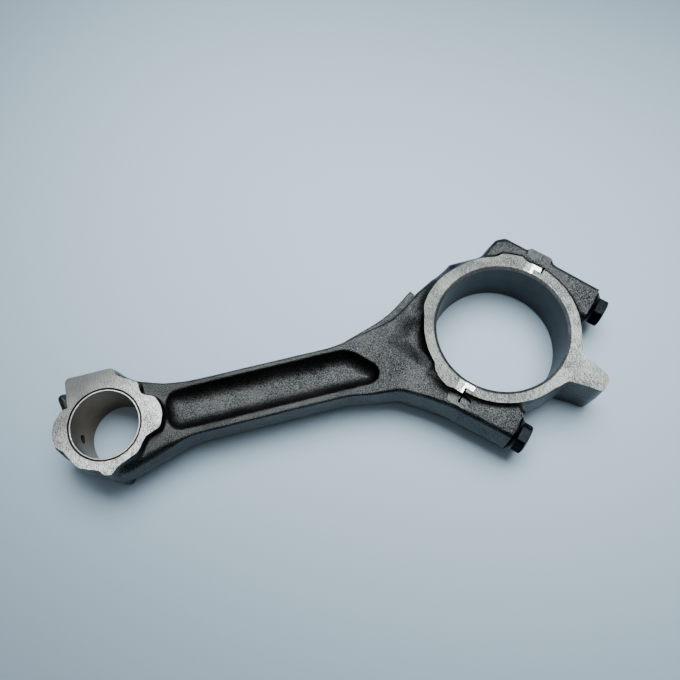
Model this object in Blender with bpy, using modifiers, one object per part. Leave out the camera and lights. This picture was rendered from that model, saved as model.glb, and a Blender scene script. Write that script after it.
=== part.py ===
"""Connecting rod with an oblique split big end, a bolted cap and a bushed small end.

The rod lies flat: +X runs from the small end to the big end, and both bores run along +Z.
Outlines are drawn with the crank-pin bore's axis at the origin, and the assembly's empty
then puts the middle of the whole rod's footprint at the world origin, on the ground.
The joint frame is turned by 45 degrees: its X runs square out of the joint, towards the
cap, and its Y runs along the joint, towards the side with the higher bolt seat.
"""

import math

import bmesh
import bpy
from mathutils import Matrix, Vector

MM = 0.001

# Driving dimensions
CENTRE_DISTANCE = 230 * MM
WIDTH = 37 * MM                    # across the machined faces of both ends
CRANK_BORE_R = 37.5 * MM
PIN_HOUSING_R = 20.35 * MM
BUSH_OUTER_R = 20.05 * MM
BUSH_INNER_R = 19 * MM
BUSH_INSET = 0.25 * MM             # from the machined faces to the ends of the bush
BUSH_CHAMFER = 0.35 * MM
JOINT_ANGLE = math.radians(-45)    # from the rod's length to the joint frame's X
SHANK_DEPTH = 24 * MM              # height of the I-section's flanges
WEB = 8 * MM                       # thickness of the I-section's web
FORGING_DEPTH = 31 * MM            # height of the unmachined forging round the big end
EYE_DEPTH = 28 * MM                # height of the unmachined forging round the small end
BOSS_EDGE = 5 * MM                 # how far the big end's sides lean in between the middle and the rims
BOSS_RISE = 12 * MM                # height over which they do so
DIMPLE_DEPTH = 5 * MM              # of the hollows between the boss and the shank, below the forging's top
MIDDLE = WIDTH / 2                 # height of the plane that the rod is symmetric about
GAP = 0.3 * MM                     # between neighbours that touch
CHAMFER = 1.3 * MM                 # at the mouths of both bores

# Joint
JOINT_STEP_LOW = -0.7 * MM
JOINT_STEP_HIGH = 3.3 * MM
TONGUE_INNER = 42 * MM
TONGUE_OUTER = 49.5 * MM

# Bolts, M12 x 1.25
BOLT_OFFSET = 46 * MM              # from the bore's axis, along the joint
BOLT_R = 6 * MM
BOLT_LENGTH = 60 * MM              # under the head
BOLT_NECK_R = 5.3 * MM
THREAD_LENGTH = 27 * MM
FLANGE_R = 10.5 * MM
FLANGE_HEIGHT = 3 * MM
FLANGE_RIM = 1.4 * MM              # height of the flange at its edge
HEX_FLATS = 16 * MM
HEX_HEIGHT = 6 * MM
COLLAR_LENGTH = 6 * MM             # of the full-size guide under the head
CAP_HOLE_R = 6.4 * MM
THREAD_HOLE_R = BOLT_R + GAP
HOLE_CLEARANCE = 3 * MM            # between the bolt's end and the bottom of its hole
SEAT = {"upper": 37.7 * MM, "lower": 33.2 * MM}    # distance of the cap's bolt seats from the bore's axis
SEAT_INNER = {"upper": 28.8 * MM, "lower": 32.7 * MM}  # where each machined seat ends, next to the ring
SIDE = {"upper": 1, "lower": -1}

BUSH_OIL_HOLE_R = 2.6 * MM
ROD_OIL_HOLE_R = 1.9 * MM
LONG = 200 * MM                    # longer than anything that a cutter goes through

COLOURS = {
    "forging": ((0.115, 0.12, 0.13), 0.55, 0.75),
    "cap_forging": ((0.125, 0.13, 0.14), 0.55, 0.75),
    "bush": ((0.55, 0.45, 0.33), 0.3, 1.0),
    "bolt": ((0.022, 0.024, 0.028), 0.42, 0.8),
}


def clear_scene():
    for obj in list(bpy.data.objects):
        bpy.data.objects.remove(obj)


def new_collection(name):
    collection = bpy.data.collections.new(name)
    bpy.context.scene.collection.children.link(collection)
    return collection


def principled(name):
    colour, roughness, metallic = COLOURS[name]
    material = bpy.data.materials.new(name)
    material.use_nodes = True
    shader = material.node_tree.nodes["Principled BSDF"]
    shader.inputs["Base Color"].default_value = (*colour, 1)
    shader.inputs["Roughness"].default_value = roughness
    shader.inputs["Metallic"].default_value = metallic
    return material


def arc(radius, start, end, step=6):
    """Points in millimetres on an arc about the origin, from one angle to another in degrees."""
    count = max(2, round(abs(end - start) / step) + 1)
    angles = [math.radians(start + (end - start) * i / (count - 1)) for i in range(count)]
    return [(radius * math.cos(a), radius * math.sin(a)) for a in angles]


def rounded(points, step=math.radians(18)):
    """A closed outline from corners (x, y) or (x, y, radius) in millimetres, in metres."""
    outline = []
    for i, corner in enumerate(points):
        here = Vector(corner[:2])
        radius = corner[2] if len(corner) > 2 else 0
        if not radius:
            outline.append(here)
            continue
        back = (Vector(points[i - 1][:2]) - here).normalized()
        ahead = (Vector(points[(i + 1) % len(points)][:2]) - here).normalized()
        half = back.angle(ahead) / 2
        centre = here + (back + ahead).normalized() * radius / math.sin(half)
        first = here + back * radius / math.tan(half) - centre
        turn = first.angle_signed(here + ahead * radius / math.tan(half) - centre)
        count = max(2, math.ceil(abs(turn) / step) + 1)
        for k in range(count):
            outline.append(centre + Matrix.Rotation(-turn * k / (count - 1), 2) @ first)
    return [point * MM for point in outline]


def link(obj, collection, frame=None):
    collection.objects.link(obj)
    if frame is not None:
        obj.matrix_world = frame
    return obj


def plate(name, outline, low, high, edge=0.0, rise=None, frame=None, steps=3):
    """A flat outline raised from low to high. Its rims curve inwards by edge over a height of rise."""
    stretch = 1 if rise is None else rise / edge
    curve = bpy.data.curves.new(name, "CURVE")
    curve.dimensions = "2D"
    curve.fill_mode = "BOTH"
    curve.extrude = (high - low) / 2 / stretch - edge
    curve.bevel_depth = edge
    curve.bevel_resolution = steps
    curve.offset = -edge
    spline = curve.splines.new("POLY")
    spline.points.add(len(outline) - 1)
    for point, place in zip(spline.points, outline):
        point.co = (*place, 0, 1)
    spline.use_cyclic_u = True
    drawn = bpy.data.objects.new(name + "_outline", curve)
    bpy.context.scene.collection.objects.link(drawn)
    bpy.context.view_layer.update()
    evaluated = drawn.evaluated_get(bpy.context.evaluated_depsgraph_get())
    mesh = bpy.data.meshes.new_from_object(evaluated)
    bpy.data.objects.remove(drawn)
    shape = bmesh.new()
    shape.from_mesh(mesh)
    bmesh.ops.remove_doubles(shape, verts=shape.verts, dist=1e-6)
    bmesh.ops.scale(shape, verts=shape.verts, vec=(1, 1, stretch))
    bmesh.ops.translate(shape, verts=shape.verts, vec=(0, 0, (low + high) / 2))
    bmesh.ops.recalc_face_normals(shape, faces=shape.faces)
    shape.to_mesh(mesh)
    shape.free()
    return link(bpy.data.objects.new(name, mesh), cutters, frame)


def cylinder(name, radius, start, end, frame, sides=48):
    """A cylinder along the frame's Z, from start to end."""
    mesh = bpy.data.meshes.new(name)
    shape = bmesh.new()
    middle = Matrix.Translation((0, 0, (start + end) / 2))
    bmesh.ops.create_cone(shape, cap_ends=True, segments=sides, radius1=radius, radius2=radius,
                          depth=end - start, matrix=middle)
    shape.to_mesh(mesh)
    shape.free()
    return link(bpy.data.objects.new(name, mesh), cutters, frame)


def turned(name, profile, frame=None, sides=96, collection=None):
    """A profile of (radius, height) turned about the frame's Z, from the top of its outer side down."""
    mesh = bpy.data.meshes.new(name)
    edges = [(i, i + 1) for i in range(len(profile) - 1)]
    if profile[0][0] > 0:
        edges.append((len(profile) - 1, 0))
    mesh.from_pydata([(radius, 0, height) for radius, height in profile], edges, [])
    obj = link(bpy.data.objects.new(name, mesh), collection or cutters, frame)
    screw = obj.modifiers.new("turn", "SCREW")
    screw.steps = sides
    screw.render_steps = sides
    screw.use_merge_vertices = True
    screw.merge_threshold = 1e-6
    return obj


def boolean(obj, other, operation):
    modifier = obj.modifiers.new(other.name, "BOOLEAN")
    modifier.operation = operation
    modifier.object = other


def joint_line(shift):
    """The stepped split in the joint frame, moved by shift towards the cap, in millimetres.

    The rod has a tongue that reaches into the cap on the upper side, and the cap has one that
    reaches into the rod on the lower side.
    """
    low = (JOINT_STEP_LOW + shift) / MM
    high = (JOINT_STEP_HIGH + shift) / MM
    inner = (TONGUE_INNER - shift) / MM
    outer = (TONGUE_OUTER + shift) / MM
    far = LONG / MM
    upper = [(low, far), (low, outer), (high, outer), (high, inner), (low, inner), (low, 0)]
    inner = (TONGUE_INNER + shift) / MM
    outer = (TONGUE_OUTER - shift) / MM
    lower = [(high, 0), (high, -inner), (low, -inner), (low, -outer), (high, -outer), (high, -far)]
    return upper + lower


def joint_cutter(name, shift, towards):
    """Everything on one side of the split: towards is 1 for the cap's side and -1 for the rod's."""
    far = LONG / MM
    outline = joint_line(shift) + [(towards * far, -far), (towards * far, far)]
    return plate(name, rounded(outline), -LONG / 4, LONG / 4, frame=JOINT)


def bore_cutter(name, radius, frame=None):
    """A bore along Z through the rod's width, with a chamfer at each mouth."""
    wide = radius + CHAMFER + LONG / 40
    above = WIDTH + LONG / 40
    profile = [(0, above), (wide, above), (radius, WIDTH - CHAMFER), (radius, CHAMFER),
               (wide, -LONG / 40), (0, -LONG / 40)]
    return turned(name, profile, frame, sides=128)


def big_end_ring(name):
    """The machined ring round the crank-pin bore, full width, with its two raised lobes."""
    def radius(angle):
        upper_lobe = 3.1 * math.exp(-((angle - 67) / 11) ** 4)
        lower_lobe = 1.1 * math.exp(-((angle - 206) / 11) ** 4)
        return 44.3 + upper_lobe + lower_lobe
    outline = [Vector(arc(radius(a), a, a + 1)[0]) * MM for a in range(0, 360, 4)]
    return plate(name, outline, 0, WIDTH)


def build_rod_body():
    half_shank = (WIDTH - SHANK_DEPTH) / 2
    shank_outline = rounded([
        (-222, 25), (-211, 23.5, 10), (-198, 18, 20), (-185, 16.5, 40), (-95, 16, 60), (-62, 25.5, 60),
        (-43.5, 38.5, 2.5), (-41, 34), (-30, 34), (-30, -36), (-47, -31), (-63, -23, 60), (-95, -16.5, 60),
        (-188, -17, 40), (-206, -22.5, 20), (-219, -26.5), (-232, -20),
    ])
    body = plate("rod_body", shank_outline, half_shank, WIDTH - half_shank, edge=2 * MM, rise=2 * MM)

    half_forging = (WIDTH - FORGING_DEPTH) / 2
    boss_outline = rounded([
        (-62, 12), (-41, 37, 6), (-21, 48, 6), (-17, 50.8, 5.5), (2, 50.5, 10), (14.5, 59.5, 6),
        (22.5, 59, 7), (44.5, 36), (30, 0), (-10, -40), (-36, -44.5), (-49.5, -32.5, 10),
        (-60, -24, 20), (-66, -8),
    ])
    forging = plate("rod_forging", boss_outline, half_forging, WIDTH - half_forging, BOSS_EDGE, BOSS_RISE)
    boolean(body, forging, "UNION")

    pocket_outline = rounded([(-197, 12, 8), (-88, 12, 12), (-67, 0, 7), (-74, -12, 8), (-197, -12, 8)])
    dimple_outline = rounded([(-67, 14, 3), (-48, 23, 3), (-36, 22), (-36, -13), (-44, -13, 3)])
    above = WIDTH + LONG / 40
    for name, outline, floor, edge in (
        ("pocket", pocket_outline, (WIDTH + WEB) / 2, 6 * MM),
        ("dimple", dimple_outline, WIDTH - half_forging - DIMPLE_DEPTH, 1.5 * MM),
    ):
        boolean(body, plate(name + "_top", outline, floor, above, edge), "DIFFERENCE")
        boolean(body, plate(name + "_bottom", outline, WIDTH - above, WIDTH - floor, edge), "DIFFERENCE")
    boolean(body, big_end_ring("rod_ring"), "UNION")

    eye_frame = Matrix.Translation((-CENTRE_DISTANCE, 0, 0))
    face_outline = rounded([
        (-19, 31.5, 3), (8.7, 31.5, 3), (10, 26.5, 2), (21.5, 19.5, 3), (22, 12.5, 4), (30, 8.5, 4),
        (33, 0, 12), (30, -9, 4), (21.5, -12, 4), (16, -20, 6), (4, -25.2, 4), (0.5, -28.8, 2),
        (-3.5, -28.2, 2), (-6, -25, 3), (-17, -21, 6), (-24.5, -9.5, 4), (-28, -6.5, 2),
        (-29.5, 0, 10), (-27.5, 7.5, 4), (-22.5, 13.5, 3), (-19, 14),
    ])
    boolean(body, plate("eye_face", face_outline, 0, WIDTH, frame=eye_frame), "UNION")
    half_eye = (WIDTH - EYE_DEPTH) / 2
    eye_outline = rounded(
        [(-26.5, 24.5, 4), (-20.5, 25), (-19.5, 32, 4), (9, 32.5, 5), (15, 26.5, 5), (24, 19, 8), (34, 17),
         (34, -17), (22, -22, 10)]
        + arc(28, -58, -206, step=12)
    )
    eye = plate("eye_forging", eye_outline, half_eye, WIDTH - half_eye, edge=3 * MM, rise=8 * MM,
                frame=eye_frame)
    boolean(body, eye, "UNION")

    boolean(body, bore_cutter("crank_bore_in_rod", CRANK_BORE_R), "DIFFERENCE")
    boolean(body, bore_cutter("pin_housing", PIN_HOUSING_R, eye_frame), "DIFFERENCE")
    boolean(body, oil_hole("oil_hole_in_rod", ROD_OIL_HOLE_R), "DIFFERENCE")
    for name in SEAT:
        hole = turned("threaded_hole_" + name, thread_hole_profile(), bolt_frame(name), sides=48)
        boolean(body, hole, "DIFFERENCE")
    boolean(body, joint_cutter("cap_side", -GAP / 2, 1), "DIFFERENCE")
    return body


def build_rod_cap():
    half_forging = (WIDTH - FORGING_DEPTH) / 2
    outline = rounded(
        [(-6, -57.5), (45, -55.5), (45, -34)]
        + arc(46.5, -45, 38.5, step=10)
        + [(45, 30), (45, 55.5), (-6, 57.5)]
    )
    cap = plate("rod_cap", outline, half_forging, WIDTH - half_forging, BOSS_EDGE, BOSS_RISE, frame=JOINT)
    boolean(cap, big_end_ring("cap_ring"), "UNION")
    pad_outline = rounded([
        (36, 14), (43, 13.5, 3), (48, 8.5, 6), (58.3, 6, 20), (65.5, 3.5, 4.5), (64.5, -5.5, 4),
        (56, -6.7, 20), (45.5, -9.5, 5), (41.5, -15, 3), (36, -16),
    ])
    boolean(cap, plate("balance_pad", pad_outline, 0, WIDTH, frame=JOINT), "UNION")
    boolean(cap, bore_cutter("crank_bore_in_cap", CRANK_BORE_R), "DIFFERENCE")
    for name, seat in SEAT.items():
        hole = cylinder("bolt_hole_" + name, CAP_HOLE_R, -LONG / 4, LONG / 4, bolt_frame(name))
        boolean(cap, hole, "DIFFERENCE")
        inner, outer = SIDE[name] * SEAT_INNER[name], SIDE[name] * LONG
        corners = [(seat, inner), (seat, outer), (LONG, outer), (LONG, inner)]
        outline = [Vector(corner) for corner in corners]
        boolean(cap, plate("seat_cut_" + name, outline, -LONG / 4, LONG / 4, frame=JOINT), "DIFFERENCE")
    boolean(cap, joint_cutter("rod_side", GAP / 2, -1), "DIFFERENCE")
    return cap


def oil_hole(name, radius):
    """A radial hole through the outer wall of the small end, on the rod's long axis."""
    along = Matrix.Translation((-CENTRE_DISTANCE, 0, MIDDLE)) @ Matrix.Rotation(math.radians(-90), 4, "Y")
    return cylinder(name, radius, PIN_HOUSING_R - 5 * MM, LONG / 4, along, sides=32)


def build_bush():
    """A plain bush in the small end, chamfered inside.

    Its oil hole is wider than the one in the rod behind it.
    """
    frame = Matrix.Translation((-CENTRE_DISTANCE, 0, 0))
    top, bottom = WIDTH - BUSH_INSET, BUSH_INSET
    mouth = BUSH_INNER_R + BUSH_CHAMFER
    profile = [
        (BUSH_OUTER_R, top), (BUSH_OUTER_R, bottom), (mouth, bottom),
        (BUSH_INNER_R, bottom + BUSH_CHAMFER), (BUSH_INNER_R, top - BUSH_CHAMFER), (mouth, top),
    ]
    bush = turned("small_end_bush", profile, frame, sides=128, collection=parts)
    boolean(bush, oil_hole("oil_hole_in_bush", BUSH_OIL_HOLE_R), "DIFFERENCE")
    return bush


def bolt_frame(name):
    """The frame of a bolt: its origin on the cap's seat and its Z along the bolt, out of the head."""
    place = Matrix.Translation((SEAT[name], SIDE[name] * BOLT_OFFSET, MIDDLE))
    return JOINT @ place @ Matrix.Rotation(math.radians(90), 4, "Y")


def thread_hole_profile():
    """A blind hole with a drill point, deeper than the bolt is long, from the seat down."""
    depth = BOLT_LENGTH + HOLE_CLEARANCE
    return [(0, 0), (THREAD_HOLE_R, 0), (THREAD_HOLE_R, -depth), (0, -depth - THREAD_HOLE_R / 2)]


def build_bolt(name):
    """A flange bolt: hexagon, flange, a guide collar, a waisted neck and the threaded end."""
    frame = bolt_frame(name) @ Matrix.Translation((0, 0, GAP))
    tip = -BOLT_LENGTH
    thread_top = tip + THREAD_LENGTH
    taper = BOLT_R - BOLT_NECK_R
    profile = [
        (0, FLANGE_HEIGHT + HEX_HEIGHT / 2), (HEX_FLATS * 0.45, FLANGE_HEIGHT + HEX_HEIGHT / 2),
        (HEX_FLATS * 0.5, FLANGE_HEIGHT), (FLANGE_R, FLANGE_RIM), (FLANGE_R, 0), (BOLT_R, 0),
        (BOLT_R, -COLLAR_LENGTH), (BOLT_NECK_R, -COLLAR_LENGTH - taper),
        (BOLT_NECK_R, thread_top + taper), (BOLT_R, thread_top),
        (BOLT_R, tip + 1 * MM), (BOLT_R - 1 * MM, tip), (0, tip),
    ]
    bolt = turned("bolt_" + name, profile, frame, sides=48, collection=parts)
    hexagon = cylinder("hexagon_" + name, HEX_FLATS / math.sqrt(3), FLANGE_HEIGHT / 2,
                       FLANGE_HEIGHT + HEX_HEIGHT, frame, sides=6)
    corner = HEX_FLATS / math.sqrt(3)
    crown = [(0, FLANGE_HEIGHT + HEX_HEIGHT), (corner - 1.6 * MM, FLANGE_HEIGHT + HEX_HEIGHT),
             (corner + 2 * MM, FLANGE_HEIGHT + HEX_HEIGHT - 2 * MM), (corner + 2 * MM, 0), (0, 0)]
    boolean(hexagon, turned("crown_" + name, crown, frame, sides=48), "INTERSECT")
    boolean(bolt, hexagon, "UNION")
    return bolt


def shade_smooth(obj):
    """Rounds the look of the curved faces, and keeps the corners sharp."""
    obj.data.shade_smooth()
    obj.data.set_sharp_from_angle(angle=math.radians(35))


def finish_cutters():
    for cutter in cutters.objects:
        cutter.hide_render = True
        cutter.display_type = "WIRE"


def settle(pieces):
    """Puts the middle of the rod's footprint at the world origin, by way of the parent empty."""
    bpy.context.view_layer.update()
    graph = bpy.context.evaluated_depsgraph_get()
    corners = []
    for piece in pieces:
        evaluated = piece.evaluated_get(graph)
        corners += [evaluated.matrix_world @ vertex.co for vertex in evaluated.data.vertices]
    middle = [(min(c[axis] for c in corners) + max(c[axis] for c in corners)) / 2 for axis in (0, 1)]
    lowest = min(corner.z for corner in corners)
    centre = bpy.data.objects.new("connecting_rod_frame", None)
    parts.objects.link(centre)
    for obj in list(pieces) + list(cutters.objects):
        obj.parent = centre
    centre.location = (-middle[0], -middle[1], -lowest)
    print("crank-pin bore axis at", [round(value, 7) for value in centre.location])


JOINT = Matrix.Rotation(JOINT_ANGLE, 4, "Z")
clear_scene()
parts = new_collection("connecting_rod")
cutters = new_collection("cutters")
pieces = {
    "forging": [build_rod_body()],
    "cap_forging": [build_rod_cap()],
    "bush": [build_bush()],
    "bolt": [build_bolt(name) for name in SEAT],
}
for material_name, objects in pieces.items():
    for piece in objects:
        piece.data.materials.append(principled(material_name))
        if piece.name in cutters.objects:
            cutters.objects.unlink(piece)
            parts.objects.link(piece)
        shade_smooth(piece)
finish_cutters()
settle([piece for objects in pieces.values() for piece in objects])
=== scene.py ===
"""Visual model of a connecting rod with an oblique stepped split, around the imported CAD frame.

Shapes are worked out in millimetres with the crank-pin bore's axis at the origin, x along the rod
and h the height above or below the plane that the rod is symmetric about. The rod and the cap are
signed distance fields: forged stock first, then the machined cuts. Each is meshed by dual
contouring, which keeps the machined edges sharp.
"""

import math

import bpy
import numpy as np
from mathutils import Matrix, Vector


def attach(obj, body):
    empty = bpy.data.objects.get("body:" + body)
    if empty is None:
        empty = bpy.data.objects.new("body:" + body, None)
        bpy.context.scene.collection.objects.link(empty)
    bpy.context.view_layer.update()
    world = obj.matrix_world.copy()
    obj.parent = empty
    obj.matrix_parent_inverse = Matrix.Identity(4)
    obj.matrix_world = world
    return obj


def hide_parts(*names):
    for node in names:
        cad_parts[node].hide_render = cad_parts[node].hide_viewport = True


MM = 0.001
CRANK_AXIS = np.array([93.7656, 4.5581, 18.5])   # in the row frame, at mid height
ROOT_HALF = math.sqrt(0.5)

# Heights above the middle
HALF_WIDTH = 18.5                  # the machined faces of both ends
BOSS_TOP = 15.5
EYE_TOP = 14.0
PAD_BLOCK_TOP = 13.5
PAD_TOP = 12.6
SHANK_TOP = 12.0
TAG_TOP = 7.0
POCKET_FLOOR = 4.0

# Bores
CRANK_BORE_R = 37.5
CHAMFER = 1.6
CHAMFER_SLOPE = 1.7                # how far it goes out for each millimetre that it goes up
EYE_X = -230.0
PIN_HOUSING_R = 20.35
GROOVE_WIDTH, GROOVE_DEPTH = 0.5, 1.5
BUSH_OUTER_R = 20.2
BUSH_INNER_R = 19.0
BUSH_TOP = HALF_WIDTH - 0.2
ROD_OIL_HOLE_R = 1.9
BUSH_OIL_HOLE_R = 2.6

# Joint: v runs square out of it, towards the cap, and u along it
STEP_LOW, STEP_HIGH = -0.7, 3.3    # the two levels of the stepped faces
TONGUE_MIDDLE, TONGUE_HALF = 45.75, 3.75
SEAT_V = {"upper": 37.7, "lower": 33.2}
SEAT_INNER = {"upper": 28.8, "lower": 32.7}      # where each seat ends, next to the ring
SEAT_GAP = 0.3                     # under the bolts' flanges, as in the CAD
BOLT_U = {"upper": 46.0, "lower": -46.0}
BOLT_HOLE_R = 6.4
THREAD_HOLE_R = 6.3
THREAD_HOLE_DEPTH = 63.0           # from the seat

# Bolts, with heights above the seat
BOLT_LENGTH = 60.0
THREAD_TOP = -33.0
PITCH = 1.25
CREST_R, ROOT_R = 6.0, 5.3
HEX_INRADIUS, HEX_CORNER = 8.0, 9.05
HEAD_TOP = 9.0
BOLT_SIDES = 96

# Meshing
CELL = 0.6
BUSH_CELL = 0.3
SHARP_ANGLE = math.radians(32)


# ---------------------------------------------------------------- outlines

def arc(radius, start, end, step=3.0):
    """Points on an arc about the origin, between two angles in degrees."""
    count = max(2, int(abs(end - start) / step) + 1)
    angles = np.radians(np.linspace(start, end, count))
    return [(radius * math.cos(a), radius * math.sin(a)) for a in angles]


def rounded(corners, step=3.0):
    """A closed outline from corners (x, y) or (x, y, radius)."""
    outline = []
    for i, corner in enumerate(corners):
        here = Vector(corner[:2])
        radius = corner[2] if len(corner) > 2 else 0
        if not radius:
            outline.append(here)
            continue
        back = (Vector(corners[i - 1][:2]) - here).normalized()
        ahead = (Vector(corners[(i + 1) % len(corners)][:2]) - here).normalized()
        half = back.angle(ahead) / 2
        centre = here + (back + ahead).normalized() * radius / math.sin(half)
        first = here + back * radius / math.tan(half) - centre
        turn = first.angle_signed(here + ahead * radius / math.tan(half) - centre)
        count = max(2, int(abs(math.degrees(turn)) / step) + 1)
        for k in range(count):
            outline.append(centre + Matrix.Rotation(-turn * k / (count - 1), 2) @ first)
    return [tuple(point) for point in outline]


class Outline:
    """The signed distance to a closed outline, kept on a fine grid and read by interpolation."""

    STEP = 0.4
    MARGIN = 12.0

    def __init__(self, points):
        points = np.array(points, np.float32)
        self.low = points.min(0) - self.MARGIN
        size = ((points.max(0) + self.MARGIN - self.low) / self.STEP).astype(int) + 2
        x = (self.low[0] + self.STEP * np.arange(size[0], dtype=np.float32))[:, None]
        y = (self.low[1] + self.STEP * np.arange(size[1], dtype=np.float32))[None, :]
        nearest = np.full(size, 1e9, np.float32)
        inside = np.zeros(size, bool)
        for (ax, ay), (bx, by) in zip(points, np.roll(points, -1, 0)):
            dx, dy = bx - ax, by - ay
            length = max(dx * dx + dy * dy, 1e-12)
            t = np.clip(((x - ax) * dx + (y - ay) * dy) / length, 0, 1)
            np.minimum(nearest, (x - ax - t * dx) ** 2 + (y - ay - t * dy) ** 2, out=nearest)
            if ay != by:
                inside ^= ((ay > y) != (by > y)) & (x < ax + dx * (y - ay) / dy)
        self.grid = np.where(inside, -1, 1) * np.sqrt(nearest)

    def __call__(self, x, y):
        grid = self.grid
        u = np.clip((x - self.low[0]) / self.STEP, 0, grid.shape[0] - 1.001)
        v = np.clip((y - self.low[1]) / self.STEP, 0, grid.shape[1] - 1.001)
        i, j = u.astype(np.int32), v.astype(np.int32)
        u, v = u - i, v - j
        low = grid[i, j] * (1 - u) + grid[i + 1, j] * u
        high = grid[i, j + 1] * (1 - u) + grid[i + 1, j + 1] * u
        return low * (1 - v) + high * v


# ---------------------------------------------------------------- distance fields

def fuse(a, b, r):
    """The union of two fields, with a concave fillet of radius r."""
    return np.maximum(r, np.minimum(a, b)) - np.hypot(np.maximum(r - a, 0), np.maximum(r - b, 0))


def meet(a, b, r):
    """The intersection of two fields, with a rounded edge of radius r."""
    return np.minimum(-r, np.maximum(a, b)) + np.hypot(np.maximum(r + a, 0), np.maximum(r + b, 0))


def carve(a, b, r):
    """Field a less field b, with the rim rounded by r."""
    return meet(a, -b, r)


def ramp(value, start, end):
    """Rises smoothly from 0 to 1 between start and end."""
    t = np.clip((value - start) / (end - start), 0, 1)
    return t * t * (3 - 2 * t)


def joint_axes(x, y):
    """The place (v, u) in the joint's axes."""
    return (x - y) * ROOT_HALF, (x + y) * ROOT_HALF


def waviness(x, y, h):
    """The slight unevenness of a forged surface."""
    slow = np.sin(0.21 * x + 1.7 * np.sin(0.13 * y)) * np.sin(0.24 * y + 0.19 * h)
    quick = np.sin(0.83 * x + 0.5 * h) * np.sin(0.71 * y - 0.6 * h)
    return 0.07 * slow + 0.025 * quick


# From above, about the crank-pin bore; the tag is the low flange along the rod's upper side
SHANK = Outline(rounded([
    (-222, 27.5), (-217, 27.8), (-210.5, 23.6, 20), (-196, 18.4, 40), (-182, 16.4, 60), (-95, 16, 60),
    (-64, 23.5, 60), (-38, 35.6, 30), (-30, 38.5), (-30, -36), (-47, -30.6), (-63, -22.5, 60),
    (-95, -16.6, 60), (-186, -17, 40), (-203, -22.8, 30), (-214, -26.2, 20), (-222, -29, 10),
    (-230, -29, 6), (-236, -18),
]))
TAG = Outline(rounded([
    (-100, 12), (-94, 17.2, 40), (-61, 27.5, 60), (-42.5, 40.6, 1.2), (-40, 36.5, 1), (-30, 36), (-30, 10),
]))
BOSS = Outline(rounded([
    (-62, 12), (-41, 35.6, 6), (-22, 47.2, 6), (-17.5, 50.5, 5.5), (2, 50.5, 10), (14.5, 59.5, 6),
    (22.5, 59, 7), (44.5, 36), (30, 0), (-10, -40), (-36, -44.5), (-49.5, -31.9, 10),
    (-60, -23.4, 20), (-66, -8),
]))
POCKET = Outline(rounded([(-197, 11.8, 8), (-88, 11.8, 16), (-67.5, -11.2, 6), (-197, -11.6, 8)]))
DIMPLE = Outline(rounded([(-66, 9.5, 3), (-53, 19.5, 9), (-36, 19), (-36, -22)]))
# About the small end's bore: the lobed machined face, and the forging under it
STAR = Outline(rounded([
    (-19, 31.5, 3), (8.7, 31.5, 3), (10, 26.5, 2), (21.5, 19.5, 3), (22, 12.5, 4), (30, 8.5, 4),
    (33, 0, 12), (30, -9, 4), (21.5, -12, 4), (16, -20, 6), (4, -25.2, 4), (0.5, -28.8, 2),
    (-3.5, -28.2, 2), (-6, -25, 3), (-17, -21, 6), (-24.5, -9.5, 4), (-28, -6.5, 2),
    (-29.5, 0, 10), (-27.5, 7.5, 4), (-22.5, 13.5, 3), (-19, 14),
]))
EYE = Outline(rounded(
    [(-29, 26.8, 4), (-21.5, 26.6), (-20, 32.3, 4), (7, 36, 5), (11.5, 28.5, 4), (14, 22), (22, 8),
     (22, -8), (12, -22, 6)] + arc(27.2, -78, -155)
    + [(-28.4, -10.6, 2), (-33.4, -4.2, 3), (-28.5, -0.5, 2)] + arc(28, -184, -206)
))
# In the joint's axes, as (v, u)
CAP = Outline(rounded(
    [(-6, -57.5), (45, -55.5), (45, -34)] + arc(46.5, -45, 38.5)
    + [(45, 30), (45, 54.8), (9, 56.2, 3), (6, 58.2, 3), (-6, 58.2)]
))
BALANCE_PAD = Outline(rounded([
    (36, 14), (43, 13.5, 3), (48, 8.5, 6), (58.3, 6, 20), (65.5, 3.5, 4.5), (64.5, -5.5, 4),
    (56, -6.7, 20), (45.5, -9.5, 5), (41.5, -15, 3), (36, -16),
]))
PAD_BLOCK = Outline(rounded([(-12, 50), (-9.5, 58.7, 3), (6, 58.5, 3), (8.5, 50)]))
UPPER_PAD = Outline(rounded([
    (-9.5, 50, 1.5), (-9.8, 60, 2), (5, 60, 2), (7, 49.6, 3), (3, 49.2), (-6, 49.4),
]))
LOWER_PAD = Outline(rounded([
    (-8.8, -46, 1.5), (-8, -52.4, 1.5), (4, -52.6, 2), (5.8, -46, 2), (0, -45.5),
]))


def ring(x, y, h):
    """The full-width ring round the crank-pin bore, with its two raised lobes."""
    angle = np.degrees(np.arctan2(y, x))
    radius = 44.6 + 0.5 * np.cos(np.radians(angle - 65))
    upper_lobe = 2.1 * ramp(np.abs(angle - 64.5), 12.5, 6.5)
    lower_lobe = 1.7 * ramp(np.abs(angle + 155), 12.5, 6.5)
    return np.hypot(x, y) - radius - upper_lobe - lower_lobe + 0.04 * (h - HALF_WIDTH)


def milled_pads(x, y, h, field):
    """The flats milled on both sides of the joint."""
    v, u = joint_axes(x, y)
    pads = np.minimum(UPPER_PAD(v, u), LOWER_PAD(v, u))
    return carve(field, meet(pads, PAD_TOP - h, 0.6), 0.15)


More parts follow.
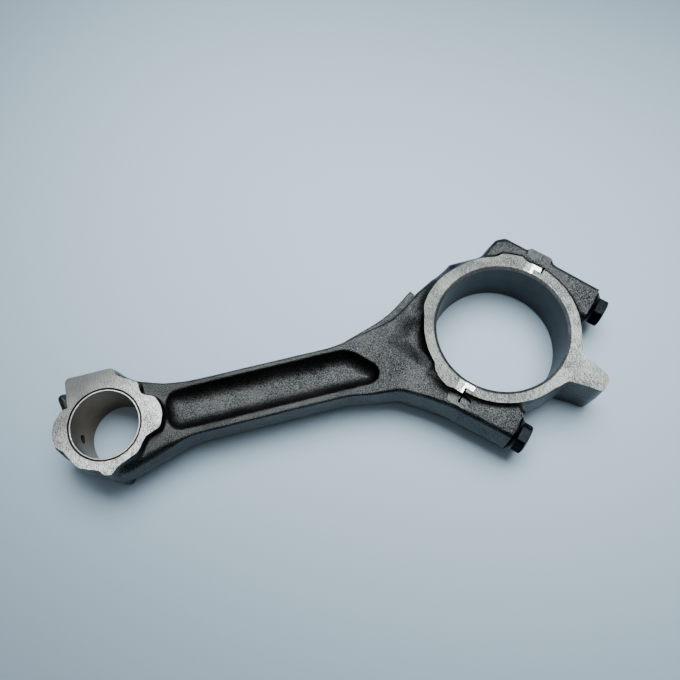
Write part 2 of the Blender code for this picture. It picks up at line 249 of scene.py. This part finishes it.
def rod_forging(x, y, h):
    swell = ramp(x, -88, -48)
    heel = ramp(-x, 186, 206) * ramp(-y, 4, 16)      # the long slope under the small end
    top = SHANK_TOP + (BOSS_TOP - SHANK_TOP) * swell
    sides = fuse(SHANK(x, y), BOSS(x, y), 6)
    draft = 0.07 + 0.13 * swell + 0.06 * heel
    field = meet(sides + draft * h, h - top, 1.2 + 1.3 * swell + 3 * heel)
    v, u = joint_axes(x, y)
    field = fuse(field, meet(PAD_BLOCK(v, u) + 0.1 * h, h - PAD_BLOCK_TOP, 1), 2)
    field = fuse(field, meet(TAG(x, y) + 0.08 * h, h - TAG_TOP, 0.7), 0.8)
    pocket_floor = POCKET_FLOOR + 2.2 * ramp(-x, 160, 198)
    field = carve(field, meet(POCKET(x, y) + 0.15 * (SHANK_TOP - h), pocket_floor - h, 8), 1.2)
    dimple_floor = top - 2.2 - 0.16 * (x + 62)       # it falls towards the ring
    field = carve(field, meet(DIMPLE(x, y) + 1.2 * (top - h), dimple_floor - h, 4), 3)
    field = fuse(field, ring(x, y, h), 3.5 + 4.5 * ramp(-x, 5, 36))
    eye_x = x - EYE_X
    field = fuse(field, meet(EYE(eye_x, y) + 0.12 * h, h - EYE_TOP, 3), 4)
    field = fuse(field, STAR(eye_x, y) + 0.05 * (h - HALF_WIDTH), 1.6)
    return field + waviness(x, y, h)


def cap_forging(x, y, h):
    v, u = joint_axes(x, y)
    field = meet(CAP(v, u) + 0.2 * h, h - BOSS_TOP, 2.6)
    field = fuse(field, meet(PAD_BLOCK(v, u) + 0.1 * h, h - PAD_BLOCK_TOP, 1), 2)
    field = fuse(field, ring(x, y, h), 3)
    field = fuse(field, BALANCE_PAD(v, u) + 0.04 * (h - HALF_WIDTH), 2.5)
    return field + waviness(x, y, h)


def crank_bored(field, x, y, h):
    """Cuts the crank-pin bore and the chamfer at each of its mouths."""
    wall = CRANK_BORE_R - np.hypot(x, y)
    chamfer = (wall + CHAMFER + CHAMFER_SLOPE * (h - HALF_WIDTH)) / math.hypot(1, CHAMFER_SLOPE)
    return np.maximum(field, np.maximum(wall, chamfer))


def split(u, v, side):
    """Negative on the rod's side of the stepped joint.

    side is -1 for the rod's face, 1 for the cap's and 0 for the plane between them. The gap is wider
    round the tongue and the slot, and widest at their ends. The rod has the tongue where u is
    positive, and the slot where it is negative.
    """
    gap = side * (0.06 + 0.07 * ramp(np.abs(u), 39, 41) * ramp(-np.abs(u), -52, -50.5))
    low, high = v - STEP_LOW - gap, v - STEP_HIGH - gap
    slot_end = v - STEP_LOW + 0.15 - 0.7 * side
    slot = np.minimum(TONGUE_HALF - gap - np.abs(u + TONGUE_MIDDLE), slot_end)
    tongue_end = v - STEP_HIGH - 0.5 - 0.6 * side
    tongue = np.maximum(np.abs(u - TONGUE_MIDDLE) - TONGUE_HALF - gap, tongue_end)
    half_inner = (TONGUE_MIDDLE - TONGUE_HALF) / 2
    inner = np.maximum(np.abs(u + half_inner) - half_inner - gap, high)
    outer = np.maximum(u + TONGUE_MIDDLE + TONGUE_HALF - gap, high)
    return np.minimum(np.minimum(np.maximum(low, slot), tongue), np.minimum(inner, outer))


def bush(x, y, h):
    """The bush, chamfered by 0.5 outside and 0.3 inside, with a countersunk oil hole."""
    radius = np.hypot(x - EYE_X, y)
    outer, inner = radius - BUSH_OUTER_R, BUSH_INNER_R - radius
    outside = np.maximum(outer, (outer + h - BUSH_TOP + 0.5) * ROOT_HALF)
    inside = np.maximum(inner, (inner + h - BUSH_TOP + 0.3) * ROOT_HALF)
    field = np.maximum(np.maximum(outside, inside), h - BUSH_TOP)
    hole = np.hypot(y, h) - BUSH_OIL_HOLE_R
    field = np.maximum(field, -np.maximum(hole, x - EYE_X))
    return np.maximum(field, -np.maximum(hole - inner - 0.4, x - EYE_X))


def rod(x, y, h):
    v, u = joint_axes(x, y)
    field = milled_pads(x, y, h, rod_forging(x, y, h))
    field = crank_bored(np.maximum(field, h - HALF_WIDTH), x, y, h)
    housing = PIN_HOUSING_R - np.hypot(x - EYE_X, y)
    groove = np.minimum(housing + GROOVE_WIDTH, h - HALF_WIDTH + GROOVE_DEPTH)
    field = np.maximum(field, np.maximum(housing, groove))
    field = np.maximum(field, -np.maximum(np.hypot(y, h) - ROD_OIL_HOLE_R, x - EYE_X))
    for name, seat in SEAT_V.items():
        wall = np.hypot(u - BOLT_U[name], h) - THREAD_HOLE_R
        depth = seat - THREAD_HOLE_DEPTH - v
        point = wall * 0.5 + depth * 0.87            # the drill's cone
        field = np.maximum(field, -np.minimum(np.maximum(wall, depth), np.maximum(point, wall)))
    return np.maximum(field, split(u, v, -1))


def cap(x, y, h):
    v, u = joint_axes(x, y)
    field = milled_pads(x, y, h, cap_forging(x, y, h))
    field = crank_bored(np.maximum(field, h - HALF_WIDTH), x, y, h)
    for name, seat in SEAT_V.items():
        field = np.maximum(field, BOLT_HOLE_R - np.hypot(u - BOLT_U[name], h))
        outwards = u if BOLT_U[name] > 0 else -u
        field = np.maximum(field, -np.maximum(seat - v, SEAT_INNER[name] - outwards))
    return np.maximum(field, -split(u, v, 1))


# ---------------------------------------------------------------- meshing

def gradient(field, points, reach=0.02):
    """The field's unit gradient at points, by central differences."""
    slope = np.empty_like(points)
    for axis in range(3):
        step = np.zeros(3)
        step[axis] = reach
        slope[:, axis] = field(*(points + step).T) - field(*(points - step).T)
    return slope / np.maximum(np.linalg.norm(slope, axis=1, keepdims=True), 1e-9)


def crossings(field, values, origin, cell, axis):
    """Where the surface crosses the grid's edges along one axis.

    It gives the lower node of each crossed edge, the point, and whether the edge leaves the solid there.
    """
    shape = np.array(values.shape)
    ahead = [slice(None)] * 3
    behind = [slice(None)] * 3
    ahead[axis], behind[axis] = slice(1, None), slice(None, -1)
    first, second = values[tuple(behind)], values[tuple(ahead)]
    nodes = np.argwhere((first < 0) != (second < 0))
    keep = np.ones(len(nodes), bool)
    for other in {0, 1, 2} - {axis}:
        keep &= (nodes[:, other] > 0) & (nodes[:, other] < shape[other] - 1)
    nodes = nodes[keep]
    a = first[tuple(nodes.T)].astype(float)
    b = second[tuple(nodes.T)].astype(float)
    low, high = np.zeros(len(nodes)), np.ones(len(nodes))
    start = origin + nodes * cell
    points = start.copy()
    leaving = a < 0
    for _ in range(5):
        t = low + (high - low) * np.clip(a / (a - b), 0.02, 0.98)
        points[:, axis] = start[:, axis] + t * cell
        value = field(*points.T)
        left = (value < 0) == (a < 0)
        low, a = np.where(left, t, low), np.where(left, value, a)
        high, b = np.where(left, high, t), np.where(left, b, value)
    return nodes, points, leaving


def contour(field, low, high, cell):
    """Dual contouring: a vertex in each cell that the surface passes, and a quad round each crossed edge."""
    low = np.array(low, float)
    count = np.ceil((np.array(high) - low) / cell).astype(int) + 1
    axes = [low[k] + cell * np.arange(count[k]) for k in range(3)]
    values = np.empty(count, np.float32)
    y, z = axes[1][None, :, None], axes[2][None, None, :]
    for start in range(0, count[0], 32):
        x = axes[0][start:start + 32][:, None, None]
        values[start:start + 32] = field(x, y, z)
    cells = count - 1
    total = int(np.prod(cells))
    slot = np.full(total, -1, np.int64)
    found, quads = [], []
    for axis in range(3):
        nodes, points, leaving = crossings(field, values, low, cell, axis)
        p, q = (axis + 1) % 3, (axis + 2) % 3
        corner = np.zeros((4, 3), int)
        corner[1:3, p] = -1
        corner[2:4, q] = -1
        around = nodes[:, None, :] + corner[None]
        index = (around[..., 0] * cells[1] + around[..., 1]) * cells[2] + around[..., 2]
        index[~leaving] = index[~leaving][:, ::-1]
        quads.append(index)
        found.append((index, points, gradient(field, points)))
    quads = np.concatenate(quads)
    used = np.unique(quads)
    slot[used] = np.arange(len(used))
    owner = np.concatenate([slot[index].ravel() for index, _, _ in found])
    points = np.concatenate([np.repeat(point, 4, 0) for _, point, _ in found])
    normals = np.concatenate([np.repeat(normal, 4, 0) for _, _, normal in found])
    size = len(used)
    number = np.bincount(owner, minlength=size)
    middle = np.stack([np.bincount(owner, points[:, k], size) / number for k in range(3)], 1)
    offset = ((points - middle[owner]) * normals).sum(1)
    system, target = np.empty((size, 3, 3)), np.empty((size, 3))
    for i in range(3):
        target[:, i] = np.bincount(owner, normals[:, i] * offset, size)
        for j in range(3):
            system[:, i, j] = np.bincount(owner, normals[:, i] * normals[:, j], size)
    system += 0.03 * np.eye(3)       # holds the vertex near its crossings where the surface is flat
    moved = np.linalg.solve(system, target[..., None])[..., 0]
    vertices = middle + np.clip(moved, -cell, cell)
    place = np.stack(np.unravel_index(used, cells), 1)
    lowest = low + place * cell
    vertices = np.clip(vertices, lowest - 0.1 * cell, lowest + 1.1 * cell)
    return vertices, slot[quads]


def mesh_object(name, vertices, faces, materials, kinds=None):
    """A mesh from millimetres about the crank axis, in metres in the row frame."""
    mesh = bpy.data.meshes.new(name)
    mesh.vertices.add(len(vertices))
    mesh.vertices.foreach_set("co", ((vertices + CRANK_AXIS) * MM).astype(np.float32).ravel())
    mesh.loops.add(faces.size)
    mesh.loops.foreach_set("vertex_index", faces.astype(np.int32).ravel())
    mesh.polygons.add(len(faces))
    starts = np.arange(len(faces)) * faces.shape[1]
    mesh.polygons.foreach_set("loop_start", starts.astype(np.int32))
    for material in materials:
        mesh.materials.append(material)
    if kinds is not None:
        mesh.polygons.foreach_set("material_index", kinds.astype(np.int32))
    mesh.update(calc_edges=True)
    mesh.validate()
    obj = bpy.data.objects.new(name, mesh)
    bpy.context.scene.collection.objects.link(obj)
    mesh.shade_smooth()
    mesh.set_sharp_from_angle(angle=SHARP_ANGLE)
    return obj


def symmetric(field):
    """The field as a function of the height above or below the middle."""
    return lambda x, y, z: field(x, y, np.abs(z))


def symmetric_reach(height, cell):
    """A reach of about height that puts the middle halfway between two layers of the grid."""
    return (int(height / cell) + 0.5) * cell


FORGED, FACE, BORE, CUT, PATCH, CHAMFERED, EYE_FACE, PAD_CUT = range(8)


def surface_kinds(vertices, faces, forging):
    """The material of each face: forged where it lies on the forged stock, or else by the cut that made it.

    The patches are the strips of the rod's own face beside the joint.
    """
    x, y, z = vertices[faces].mean(1).T
    h = np.abs(z)
    v, u = joint_axes(x, y)
    side = split(u, v, 0)
    on_face = h > HALF_WIDTH - 0.05
    radius = np.hypot(x, y)
    eye_radius = np.hypot(x - EYE_X, y)
    kinds = np.where(np.abs(forging(x, y, h)) < 0.06, FORGED, CUT)
    kinds[(kinds == CUT) & (u > 40) & (h > 10)] = PAD_CUT
    kinds[on_face] = FACE
    kinds[on_face & (x < -150)] = EYE_FACE
    kinds[~on_face & (radius < CRANK_BORE_R + 0.1) & (np.abs(side) > 0.2)] = BORE
    kinds[~on_face & (eye_radius < PIN_HOUSING_R + GROOVE_WIDTH + 0.1)] = BORE
    kinds[~on_face & (radius < CRANK_BORE_R + CHAMFER) & (h > HALF_WIDTH - CHAMFER)] = CHAMFERED
    kinds[on_face & (v > -6) & (np.abs(u) > 30) & (side < 0)] = PATCH
    return kinds


# ---------------------------------------------------------------- materials

def socket(node, name):
    """The input of that name that is in use, for nodes that have several."""
    return next(s for s in node.inputs if s.name == name and s.enabled)


class Nodes:
    """Short calls for building one material's node tree."""

    def __init__(self, name):
        self.material = bpy.data.materials.new(name)
        self.material.use_nodes = True
        self.tree = self.material.node_tree
        self.shader = self.tree.nodes["Principled BSDF"]
        coordinates = self.tree.nodes.new("ShaderNodeTexCoord")
        scale = self.tree.nodes.new("ShaderNodeVectorMath")
        scale.operation = "SCALE"
        scale.inputs["Scale"].default_value = 1 / MM
        self.link(coordinates.outputs["Object"], scale.inputs[0])
        self.place = scale.outputs[0]        # in millimetres

    def link(self, output, inlet):
        self.tree.links.new(output, inlet)

    def noise(self, scale, detail=2.0, roughness=0.5, stretch=None):
        """Noise from 0 to 1. stretch is (scale along each axis, turn about the vertical)."""
        node = self.tree.nodes.new("ShaderNodeTexNoise")
        node.inputs["Scale"].default_value = scale
        node.inputs["Detail"].default_value = detail
        node.inputs["Roughness"].default_value = roughness
        self.link(self.stretched(stretch), node.inputs["Vector"])
        return node.outputs["Fac"]

    def stretched(self, stretch):
        if stretch is None:
            return self.place
        node = self.tree.nodes.new("ShaderNodeMapping")
        node.inputs["Rotation"].default_value = (0, 0, stretch[1])
        node.inputs["Scale"].default_value = stretch[0]
        self.link(self.place, node.inputs["Vector"])
        return node.outputs["Vector"]

    def along(self, direction):
        """The distance in millimetres along a direction, from the middle of the row frame."""
        node = self.tree.nodes.new("ShaderNodeVectorMath")
        node.operation = "DOT_PRODUCT"
        self.link(self.place, node.inputs[0])
        node.inputs[1].default_value = direction
        return node.outputs["Value"]

    def voronoi(self, scale):
        node = self.tree.nodes.new("ShaderNodeTexVoronoi")
        node.inputs["Scale"].default_value = scale
        self.link(self.place, node.inputs["Vector"])
        return node.outputs["Distance"]

    def spread(self, value, low, high, start=0.3, end=0.7):
        """Maps value from start..end to low..high."""
        node = self.tree.nodes.new("ShaderNodeMapRange")
        for name, number in (("From Min", start), ("From Max", end), ("To Min", low), ("To Max", high)):
            node.inputs[name].default_value = number
        self.link(value, node.inputs["Value"])
        return node.outputs["Result"]

    def math(self, operation, a, b):
        node = self.tree.nodes.new("ShaderNodeMath")
        node.operation = operation
        for inlet, value in zip(node.inputs, (a, b)):
            if isinstance(value, (int, float)):
                inlet.default_value = value
            else:
                self.link(value, inlet)
        return node.outputs[0]

    def blend(self, factor, first, second):
        """A colour between first and second."""
        node = self.tree.nodes.new("ShaderNodeMix")
        node.data_type = "RGBA"
        for inlet, value in ((socket(node, "A"), first), (socket(node, "B"), second)):
            if isinstance(value, tuple):
                inlet.default_value = (*value, 1)
            else:
                self.link(value, inlet)
        self.link(factor, socket(node, "Factor"))
        return next(s for s in node.outputs if s.enabled)

    def bump(self, height, depth):
        """Raises the surface by height times depth in millimetres."""
        node = self.tree.nodes.new("ShaderNodeBump")
        node.inputs["Strength"].default_value = 1
        node.inputs["Distance"].default_value = depth * MM
        self.link(height, node.inputs["Height"])
        self.link(node.outputs["Normal"], self.shader.inputs["Normal"])

    def finish(self, colour, roughness, metallic):
        for name, value in (("Base Color", colour), ("Roughness", roughness), ("Metallic", metallic)):
            if isinstance(value, (int, float)):
                self.shader.inputs[name].default_value = value
            else:
                self.link(value, self.shader.inputs[name])
        return self.material


def forged_material(name, dark, light):
    """Shot-blasted forging skin: coarse grain and fine pits, with bright specks on the peaks."""
    n = Nodes(name)
    grain = n.noise(2.1, 2.0, 0.7)
    pits = n.voronoi(1.8)
    cloud = n.noise(0.05, 3.0, 0.5)
    tone = n.math("ADD", n.math("MULTIPLY", grain, 0.8), n.math("MULTIPLY", cloud, 0.2))
    colour = n.blend(n.spread(tone, 0, 1, 0.44, 0.58), dark, light)
    n.bump(n.math("ADD", grain, n.math("MULTIPLY", pits, 0.5)), 0.2)
    return n.finish(colour, n.spread(cloud, 0.3, 0.38), 1.0)


def machined_material(name, dark, light, roughness, turn, depth=0.1, painted_shade=None):
    """Ground steel: sparkling grain crossed by parallel marks.

    The last argument is painted shade, as (direction, start, end, share): from start to end, in mm along the
    direction, the light part of the colour drops to that share, standing in for light that falls off across
    the face.
    """
    n = Nodes(name)
    grain = n.noise(1.7, 2.0, 0.65)
    marks = n.noise(1.0, 2.0, 0.6, ((2.0, 0.3, 1.0), turn))
    cloud = n.noise(0.07, 2.0, 0.5)
    tone = n.math("ADD", n.math("MULTIPLY", grain, 0.6), n.math("MULTIPLY", marks, 0.4))
    shade = n.math("ADD", n.math("MULTIPLY", tone, 0.8), n.math("MULTIPLY", cloud, 0.2))
    factor = n.spread(shade, 0, 1, 0.44, 0.57)
    colour = n.blend(factor, dark, light)
    # Painted shade: the light part of the colour drops along one direction across the face.
    if painted_shade:
        direction, start, end, share = painted_shade
        painted_shaded_colour = n.blend(factor, dark, tuple(share * value for value in light))
        colour = n.blend(n.spread(n.along(direction), 0, 1, start, end), colour, painted_shaded_colour)
    n.bump(tone, depth)
    return n.finish(colour, roughness, 0.9)


def patch_material():
    """The ground face beside the joint: a near-white band along the joint's edge, and plain beyond it."""
    n = Nodes("bright_band_face")
    band = 2.7                         # how far the bright band reaches behind the bore's axis
    start = ROOT_HALF * (CRANK_AXIS[0] - CRANK_AXIS[1]) - band
    grain = n.noise(1.8, 2.0, 0.7)
    edge = n.math("ADD", n.along((ROOT_HALF, -ROOT_HALF, 0)), n.spread(n.noise(0.9), -0.5, 0.5))
    bright = n.spread(edge, 0, 1, start - 0.2, start + 0.2)
    plain = n.blend(n.spread(grain, 0, 1, 0.44, 0.58), (0.06, 0.067, 0.066), (0.4, 0.415, 0.38))
    near_white = n.blend(n.spread(n.noise(0.7), 0, 1, 0.4, 0.5), (0.5, 0.52, 0.48), (0.98, 0.99, 0.97))
    colour = n.blend(bright, plain, near_white)
    n.bump(grain, 0.06)
    return n.finish(colour, 0.4, 0.9)


def bored_material(name, dark, light, roughness):
    """A bored wall, with fine rings round its axis."""
    n = Nodes(name)
    rings = n.noise(1.0, 2.0, 0.6, ((0.03, 0.03, 5.0), 0.0))
    cloud = n.noise(0.12, 2.0, 0.5)
    tone = n.math("ADD", n.math("MULTIPLY", rings, 0.5), n.math("MULTIPLY", cloud, 0.5))
    colour = n.blend(n.spread(tone, 0, 1), dark, light)
    n.bump(rings, 0.01)
    return n.finish(colour, roughness, 0.9)


def bolt_material():
    """Black oxide, worn a little lighter in places."""
    n = Nodes("bolt_black_oxide")
    wear = n.noise(0.5, 4.0, 0.6)
    colour = n.blend(n.spread(wear, 0, 1, 0.45, 0.75), (0.004, 0.005, 0.0065), (0.013, 0.015, 0.018))
    n.bump(n.noise(2.0, 2.0, 0.5), 0.02)
    return n.finish(colour, n.spread(wear, 0.3, 0.45), 1.0)


# ---------------------------------------------------------------- turned pieces

def lathe(rows, angles):
    """Vertices and quads from rows of (radius at each angle, height), closed where the radius is 0."""
    sides = len(angles)
    vertices = []
    for radius, height in rows:
        radius = np.broadcast_to(radius, sides)
        height = np.broadcast_to(height, sides)
        vertices.append(np.stack([radius * np.cos(angles), radius * np.sin(angles), height], 1))
    vertices = np.concatenate(vertices)
    faces = []
    ahead = np.roll(np.arange(sides), -1)
    for k in range(len(rows) - 1):
        a, b = k * sides, (k + 1) * sides
        faces.append(np.stack([a + np.arange(sides), a + ahead, b + ahead, b + np.arange(sides)], 1))
    return vertices, np.concatenate(faces)


def bolt_rows(angles):
    """The bolt from its tip to the top of its head, with the seat at height 0."""
    rows = [(0.0, -BOLT_LENGTH), (4.4, -BOLT_LENGTH), (5.0, 0.1 - BOLT_LENGTH)]
    for z in np.arange(0.2 - BOLT_LENGTH, THREAD_TOP, PITCH / 10):
        phase = (z / PITCH - angles / (2 * np.pi)) % 1
        flank = np.clip(np.abs(phase - 0.5) * 3.2 - 0.3, 0, 1)
        run_out = np.clip((THREAD_TOP - z) / 1.5, 0, 1)
        lead_in = np.clip((z + BOLT_LENGTH + 0.1) / 1.2, 0, 1)
        radius = ROOT_R + (CREST_R - ROOT_R) * flank * run_out
        rows.append((np.minimum(radius, 4.9 + 1.2 * lead_in), z))
    neck = [(ROOT_R, -32.9), (ROOT_R, -32), (ROOT_R, -20), (ROOT_R, -8)]
    collar = [(5.35, -7.2), (5.6, -6.6), (5.95, -6.2), (6.0, -5.9), (6.0, -1.2), (6.1, -0.6), (6.6, 0)]
    rim = [(9.9, 0), (10.3, 0.05), (10.5, 0.3), (10.5, 1.1), (10.35, 1.4), (10.0, 1.6)]
    rows += neck + collar + rim
    hexagon = HEX_INRADIUS / np.cos((angles + np.pi / 6) % (np.pi / 3) - np.pi / 6)
    hexagon = np.minimum(hexagon, HEX_CORNER)
    for t in np.linspace(0, 1, 7):
        flange = 10.0 - 1.6 * t
        rows.append((np.maximum(flange, hexagon) if t < 1 else hexagon, 1.6 + 1.6 * t))
    for z in np.concatenate([np.linspace(3.5, 7.4, 8), np.linspace(7.5, 8.9, 15)]):
        rows.append((np.minimum(hexagon, 7.35 + (HEAD_TOP - z) * 1.75), z))
    rows += [(7.25, HEAD_TOP), (5.6, HEAD_TOP), (5.2, 8.85), (4.9, 8.55), (3.0, 8.5), (0.0, 8.5)]
    return rows


# ---------------------------------------------------------------- the build

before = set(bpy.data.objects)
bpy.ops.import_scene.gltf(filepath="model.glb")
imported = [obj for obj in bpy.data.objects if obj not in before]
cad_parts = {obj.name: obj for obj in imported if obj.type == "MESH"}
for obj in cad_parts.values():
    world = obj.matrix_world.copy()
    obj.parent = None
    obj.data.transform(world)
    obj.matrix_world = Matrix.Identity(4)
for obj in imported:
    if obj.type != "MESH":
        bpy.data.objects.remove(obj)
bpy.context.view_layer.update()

forged = forged_material("forged_skin", (0.006, 0.0078, 0.01), (0.08, 0.0845, 0.083))
# Painted shade: the ring's face darkens towards the small end and the rod's upper side, its light tone down
# to 55 %.
face = machined_material(
    "ground_face", (0.028, 0.033, 0.032), (0.27, 0.291, 0.273), 0.4, 0.35, 0.24,
    painted_shade=((-0.8, 0.6, 0), -115, -35, 0.55),
)
# Painted shade: the small end's face darkens towards the rod's upper side, its light tone down to 14 %.
eye_face = machined_material(
    "small_end_face", (0.1, 0.108, 0.107), (0.95, 0.97, 0.93), 0.4, 0.15, 0.24,
    painted_shade=((-0.35, 0.94, 0), 35, 80, 0.14),
)
bore = bored_material("bored_wall", (0.019, 0.022, 0.026), (0.043, 0.048, 0.053), 0.48)
cut = machined_material("milled_cut", (0.012, 0.015, 0.018), (0.085, 0.09, 0.088), 0.4, 1.1, 0.16)
pad_cut = machined_material("milled_pad", (0.008, 0.01, 0.014), (0.07, 0.072, 0.074), 0.4, 1.1, 0.16)
patch = patch_material()
bronze = bored_material("bronze_bush", (0.13, 0.083, 0.046), (0.21, 0.138, 0.08), 0.32)
steel_lip = machined_material("bush_lip", (0.62, 0.62, 0.59), (0.85, 0.85, 0.81), 0.35, 0.3)
black = bolt_material()
chamfered = machined_material("chamfer", (0.06, 0.068, 0.074), (0.14, 0.148, 0.152), 0.45, 0.3, 0.05)
skins = [forged, face, bore, cut, patch, chamfered, eye_face, pad_cut]

for name, field, forging, (left, front), (right, rear) in (
    ("rod_body", rod, rod_forging, (-263, -50), (42, 62)),
    ("rod_cap", cap, cap_forging, (-44, -72), (74, 42)),
):
    reach = symmetric_reach(20, CELL)
    vertices, faces = contour(symmetric(field), (left, front, -reach), (right, rear, reach), CELL)
    kinds = surface_kinds(vertices, faces, forging)
    piece = mesh_object(name + "_detailed", vertices, faces, skins, kinds)
    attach(piece, "rod" if name == "rod_body" else "cap")
    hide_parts(name)

joint_frame = Matrix.Rotation(math.radians(-45), 4, "Z")
upright_to_v = Matrix.Rotation(math.radians(90), 4, "Y")
angles = 2 * np.pi * np.arange(BOLT_SIDES) / BOLT_SIDES
for name, seat in SEAT_V.items():
    vertices, faces = lathe(bolt_rows(angles), angles)
    on_seat = Matrix.Translation((seat + SEAT_GAP, BOLT_U[name], 0))
    place = np.array(joint_frame @ on_seat @ upright_to_v)
    vertices = vertices @ place[:3, :3].T + place[:3, 3]
    piece = mesh_object("bolt_" + name + "_detailed", vertices, faces, [black])
    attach(piece, name + "_bolt")
    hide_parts("bolt_" + name)

reach = symmetric_reach(19, BUSH_CELL)
half = BUSH_OUTER_R + 1.5
low, high = (EYE_X - half, -half, -reach), (EYE_X + half, half, reach)
vertices, faces = contour(symmetric(bush), low, high, BUSH_CELL)
middle = vertices[faces].mean(1)
lip = (np.abs(middle[:, 2]) > HALF_WIDTH - 0.35).astype(int)
piece = mesh_object("small_end_bush_detailed", vertices, faces, [bronze, steel_lip], lip)
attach(piece, "rod")
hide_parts("small_end_bush")


# ---------------------------------------------------------------- stage, light and camera

def floor_material():
    n = Nodes("floor_paper")
    grain = n.noise(0.8, 2.0, 0.5)
    colour = n.blend(n.spread(grain, 0, 1), (0.43, 0.585, 0.71), (0.445, 0.6, 0.725))
    return n.finish(colour, 0.6, 0.0)


bpy.ops.mesh.primitive_plane_add(size=6, location=(0, 0, 0))
ground = bpy.context.object
ground.name = "floor"
ground.data.materials.append(floor_material())


def area_light(name, place, target, size, power, colour, spread):
    light = bpy.data.lights.new(name, "AREA")
    light.shape = "RECTANGLE"
    light.size, light.size_y = size
    light.energy = power
    light.spread = math.radians(spread)
    light.color = colour
    obj = bpy.data.objects.new(name, light)
    bpy.context.scene.collection.objects.link(obj)
    obj.location = place
    obj.rotation_euler = (Vector(target) - Vector(place)).to_track_quat("-Z", "Y").to_euler()


area_light("softbox", (0.12, 0.205, 0.53), (0.05, 0.085, 0), (0.65, 0.43), 1.8, (0.97, 0.99, 1.0), 68)
area_light("ceiling", (0.1, 0.1, 1.6), (0.1, 0.1, 0), (2.2, 2.2), 7, (0.97, 0.99, 1.0), 180)

world = bpy.data.worlds.new("studio")
bpy.context.scene.world = world
world.use_nodes = True
world.node_tree.nodes["Background"].inputs["Color"].default_value = (0.72, 0.78, 0.84, 1)
world.node_tree.nodes["Background"].inputs["Strength"].default_value = 0.075

camera = bpy.data.objects.new("camera", bpy.data.cameras.new("camera"))
bpy.context.scene.collection.objects.link(camera)
camera.data.lens = 36.75
camera.data.sensor_width = 36
camera.data.clip_start = 0.01
right = Vector((0.97122, -0.23626, -0.03007))
up = Vector((0.23251, 0.91318, 0.33470))
back = Vector((-0.05162, -0.33206, 0.94184))
turn = Matrix((right, up, back)).transposed().to_4x4()
camera.matrix_world = Matrix.Translation((-0.01843, -0.11144, 0.4108)) @ turn
bpy.context.scene.camera = camera
